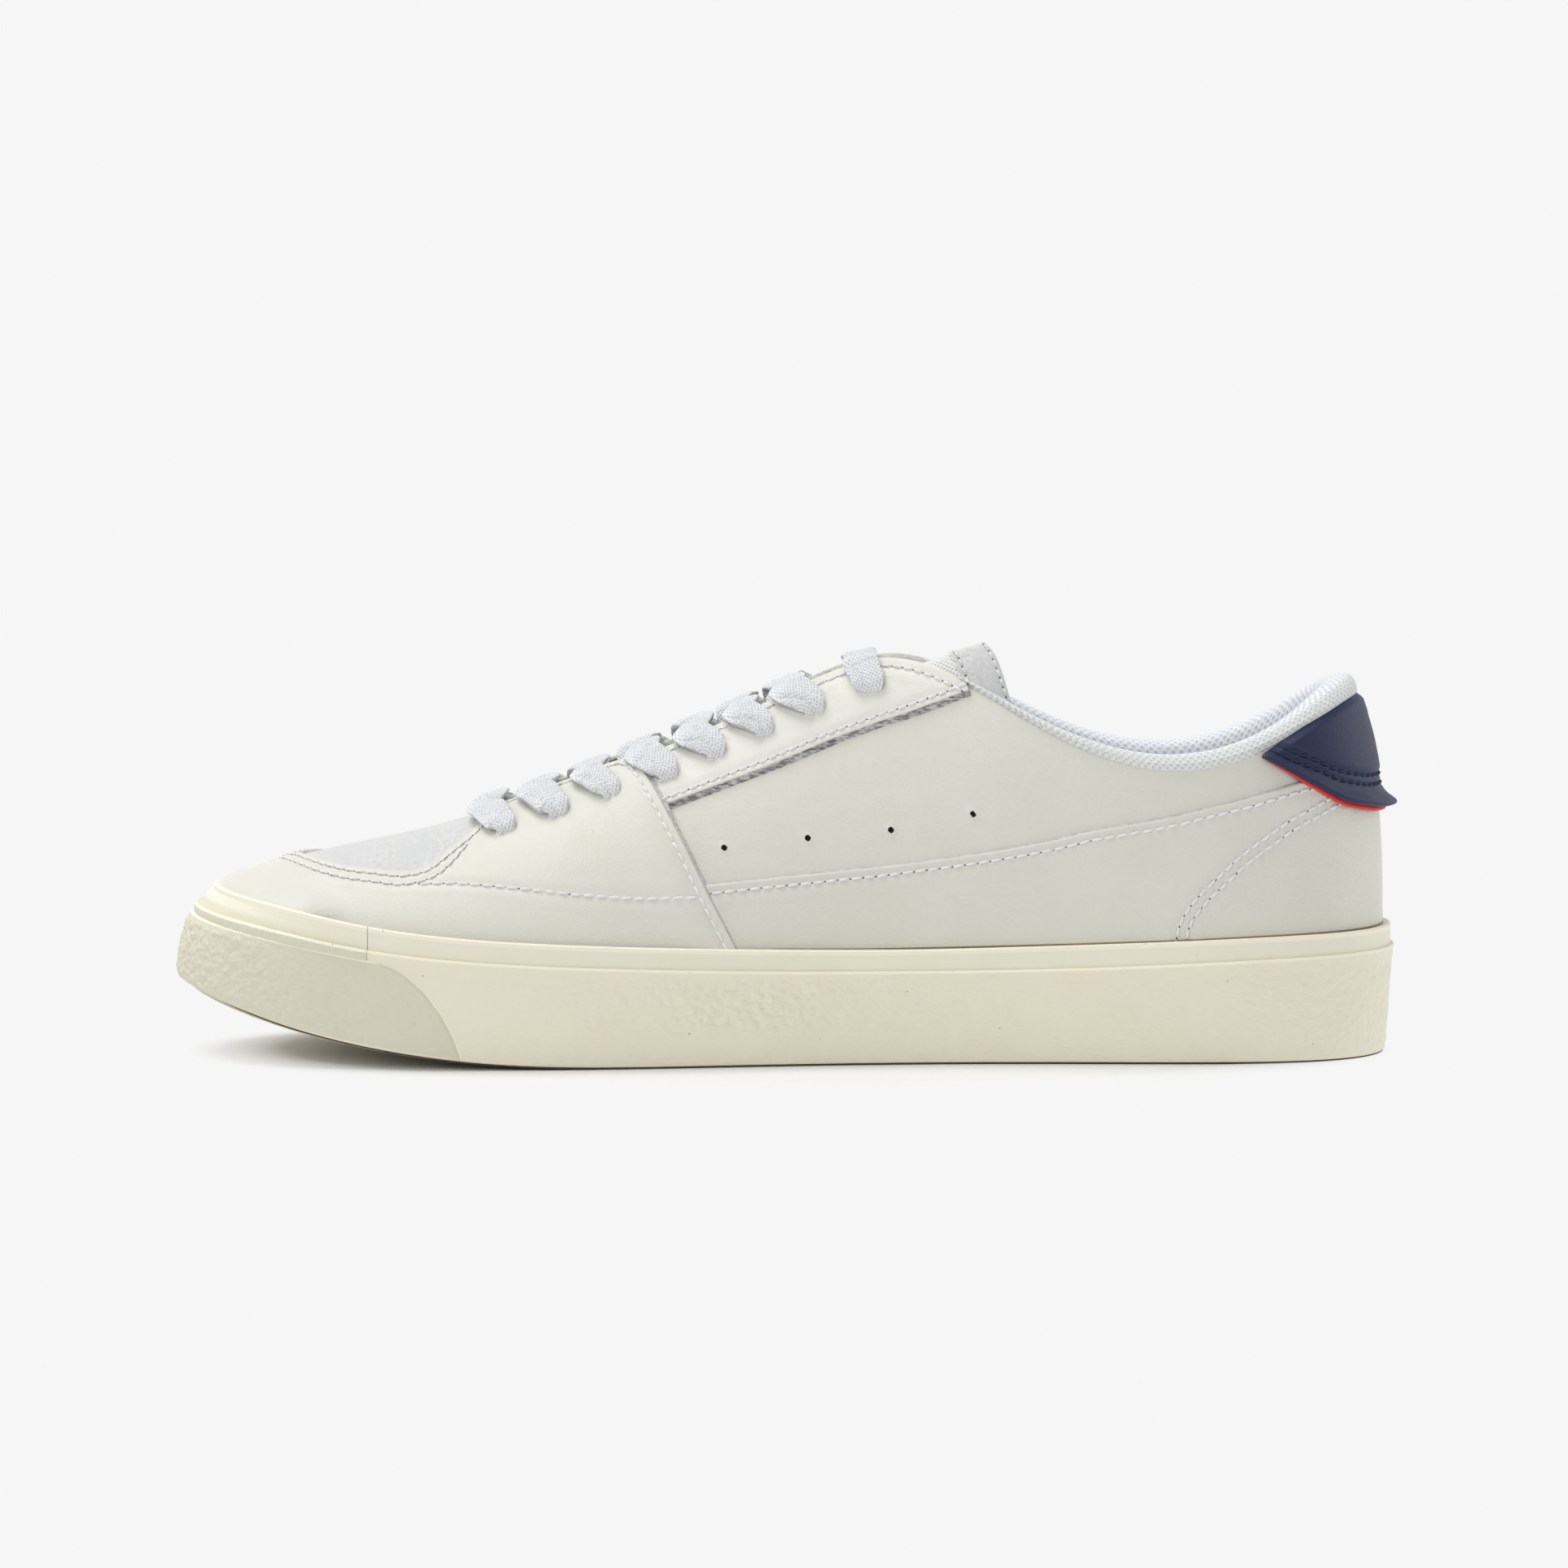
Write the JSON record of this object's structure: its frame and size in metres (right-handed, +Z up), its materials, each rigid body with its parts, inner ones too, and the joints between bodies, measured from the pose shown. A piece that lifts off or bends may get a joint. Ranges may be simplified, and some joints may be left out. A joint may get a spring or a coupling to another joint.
{
  "type": "court shoe",
  "caption": "Low court shoe, right foot: leather upper with suede toe, laced throat, padded knit collar, heel tab and cupped rubber sole.",
  "frame": {"origin": "centre of the shoe's length and width, on the ground under the sole", "axes": "+X towards the heel, -Y towards the medial side (inner side of the foot), +Z up from the ground"},
  "size_m": [0.2992, 0.107, 0.1007],
  "materials": {
    "rubber_sole": "satin",
    "rubber_wall": "fine pebble",
    "filler": "matt",
    "board": "matt",
    "foam": "matt",
    "lining": "knit mesh",
    "stiffener": "matt",
    "suede": "napped",
    "leather": "fine grain",
    "tape": "matt",
    "knit": "knit mesh",
    "navy_leather": "smooth",
    "red_leather": "smooth",
    "label": "woven",
    "cotton": "flat braid",
    "clear_tip": "gloss"
  },
  "bodies": {
    "shoe": {"outsole": "rubber_sole", "midsole_filler": "filler", "foxing_lower": "rubber_wall", "foxing_tape_rear": "rubber_wall", "foxing_tape_toe": "rubber_wall", "toe_strip": "rubber_wall", "toe_bumper": "rubber_wall", "lasting_board": "board", "toe_puff": "stiffener", "heel_counter": "stiffener", "vamp_lining": "lining", "quarter_lining_medial": "lining", "quarter_lining_lateral": "lining", "suede_toe_panel": "suede", "front_overlay": "leather", "quarter_medial": "leather", "quarter_lateral": "leather", "eyestay_medial": "leather", "eyestay_lateral": "leather", "eyelet_reinforcement_medial": "tape", "eyelet_reinforcement_lateral": "tape", "heel_overlay": "leather", "collar_foam": "foam", "collar_lining": "knit", "heel_tab": "navy_leather", "heel_tab_underlay": "red_leather", "lace": "cotton", "aglets": "clear_tip"},
    "tongue": {"tongue_shell": "leather", "tongue_foam": "foam", "tongue_lining": "lining", "tongue_tip": "suede", "tongue_label": "label"},
    "footbed": {"footbed_foam": "foam", "footbed_cover": "lining"}
  },
  "joints": [
    {"name": "tongue_hinge", "type": "hinge", "parent": "shoe", "child": "tongue", "pos_m": [-0.068, -0.0045, 0.053], "axis": [0, 1, 0], "range_deg": [0, 12], "stiffness_Nm_per_rad": 0.15, "springref_deg": -8.59},
    {"name": "footbed_lift", "type": "hinge", "parent": "shoe", "child": "footbed", "pos_m": [-0.133, -0.0075, 0.0225], "axis": [0, -1, 0], "range_deg": [0, 3]}
  ]
}
